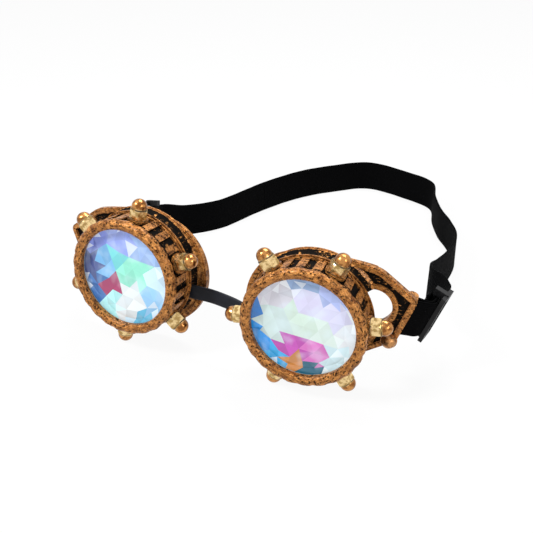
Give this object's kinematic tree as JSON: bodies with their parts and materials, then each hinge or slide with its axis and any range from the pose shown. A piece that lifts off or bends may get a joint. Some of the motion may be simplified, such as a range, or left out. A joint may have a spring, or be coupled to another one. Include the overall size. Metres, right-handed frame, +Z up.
{
  "type": "steampunk goggles",
  "caption": "Goggles with round eyecups, screw-on lens rings studded with cap nuts, faceted iridescent lenses, a bridge strip and an adjustable elastic head strap.",
  "frame": {"origin": "on the table, under the middle of the whole object's box", "axes": "+Z up, the wearer looks along -Y, +X towards the eyecup on the right as seen from the front"},
  "size_m": [0.1949, 0.2639, 0.0772],
  "materials": {
    "dark_copper": "black plastic dry-brushed with copper paint, dark in the channels",
    "copper": "rough plastic with worn antique copper paint",
    "gasket_rubber": "matt",
    "lens_glass": "faceted, with an iridescent coating",
    "stud_brass": "plain turned",
    "polished_brass": "polished, with tarnish in the corners",
    "bronze": "dark bronze, satin",
    "elastic": "flat woven elastic, matt black",
    "black_plastic": "moulded, satin black",
    "strip_rubber": "smooth, blue-black"
  },
  "bodies": {
    "left_cup": {"left_eyecup": "dark_copper", "left_lens_seat": "gasket_rubber", "left_lens": "lens_glass", "left_strap_pin": "bronze", "left_ear_rivet": "bronze", "bridge_strip": "strip_rubber", "head_strap": "elastic"},
    "left_washer": {"left_lens_washer": "gasket_rubber"},
    "left_ring": {"left_screw_ring": "copper", "left_ring_studs": "stud_brass", "left_cap_nuts": "polished_brass"},
    "left_band": {"left_strap_end": "elastic", "left_strap_return": "elastic"},
    "left_buckle": {"left_slider": "black_plastic", "left_sewn_end": "elastic"},
    "right_cup": {"right_eyecup": "dark_copper", "right_lens_seat": "gasket_rubber", "right_lens": "lens_glass", "right_strap_pin": "bronze", "right_ear_rivet": "bronze"},
    "right_washer": {"right_lens_washer": "gasket_rubber"},
    "right_ring": {"right_screw_ring": "copper", "right_ring_studs": "stud_brass", "right_cap_nuts": "polished_brass"},
    "right_band": {"right_strap_end": "elastic", "right_strap_return": "elastic"},
    "right_buckle": {"right_slider": "black_plastic", "right_sewn_end": "elastic"}
  },
  "joints": [
    {"name": "left_ring_travel", "type": "slide", "parent": "left_cup", "child": "left_washer", "axis": [-0.0922, -0.9939, 0.061], "range_m": [0, 0.0041]},
    {"name": "left_ring_turn", "type": "hinge", "parent": "left_washer", "child": "left_ring", "pos_m": [-0.05258, -0.11313, 0.0386], "axis": [-0.0922, -0.9939, 0.061], "range_deg": [0, 480]},
    {"name": "right_ring_travel", "type": "slide", "parent": "right_cup", "child": "right_washer", "axis": [0.0628, -0.998, 0], "range_m": [0, 0.0041]},
    {"name": "right_ring_turn", "type": "hinge", "parent": "right_washer", "child": "right_ring", "pos_m": [0.04049, -0.12091, 0.03558], "axis": [0.0628, -0.998, 0], "range_deg": [0, 480]},
    {"name": "bridge_flex", "type": "hinge", "parent": "left_cup", "child": "right_cup", "pos_m": [-0.00596, -0.10763, 0.0293], "axis": [0, 0, 1], "range_deg": [-12, 20], "stiffness_Nm_per_rad": 0.05, "deforming": ["bridge_strip", "head_strap"]},
    {"name": "left_strap_swivel", "type": "hinge", "parent": "left_cup", "child": "left_band", "pos_m": [-0.09023, -0.09024, 0.03742], "axis": [-0.3678, 0.091, 0.9255], "range_deg": [-5, 15], "stiffness_Nm_per_rad": 0.02, "deforming": ["head_strap"]},
    {"name": "right_strap_swivel", "type": "hinge", "parent": "right_cup", "child": "right_band", "pos_m": [0.0788, -0.09911, 0.03558], "axis": [0.3739, 0.0235, 0.9272], "range_deg": [-12, 8], "stiffness_Nm_per_rad": 0.02, "deforming": ["head_strap"]},
    {"name": "left_slider_slide", "type": "slide", "parent": "left_band", "child": "left_buckle", "axis": [0.0599, 0.9583, -0.2795], "range_m": [-0.005, 0.004], "deforming": ["left_strap_return"]},
    {"name": "right_slider_slide", "type": "slide", "parent": "right_band", "child": "right_buckle", "axis": [0.0988, 0.993, -0.065], "range_m": [0, 0.004], "deforming": ["right_strap_return"]}
  ],
  "couplings": [
    {"joint": "left_ring_travel", "follows": "left_ring_turn", "m_per_rad": 0.00047746},
    {"joint": "right_ring_travel", "follows": "right_ring_turn", "m_per_rad": 0.00047746}
  ]
}
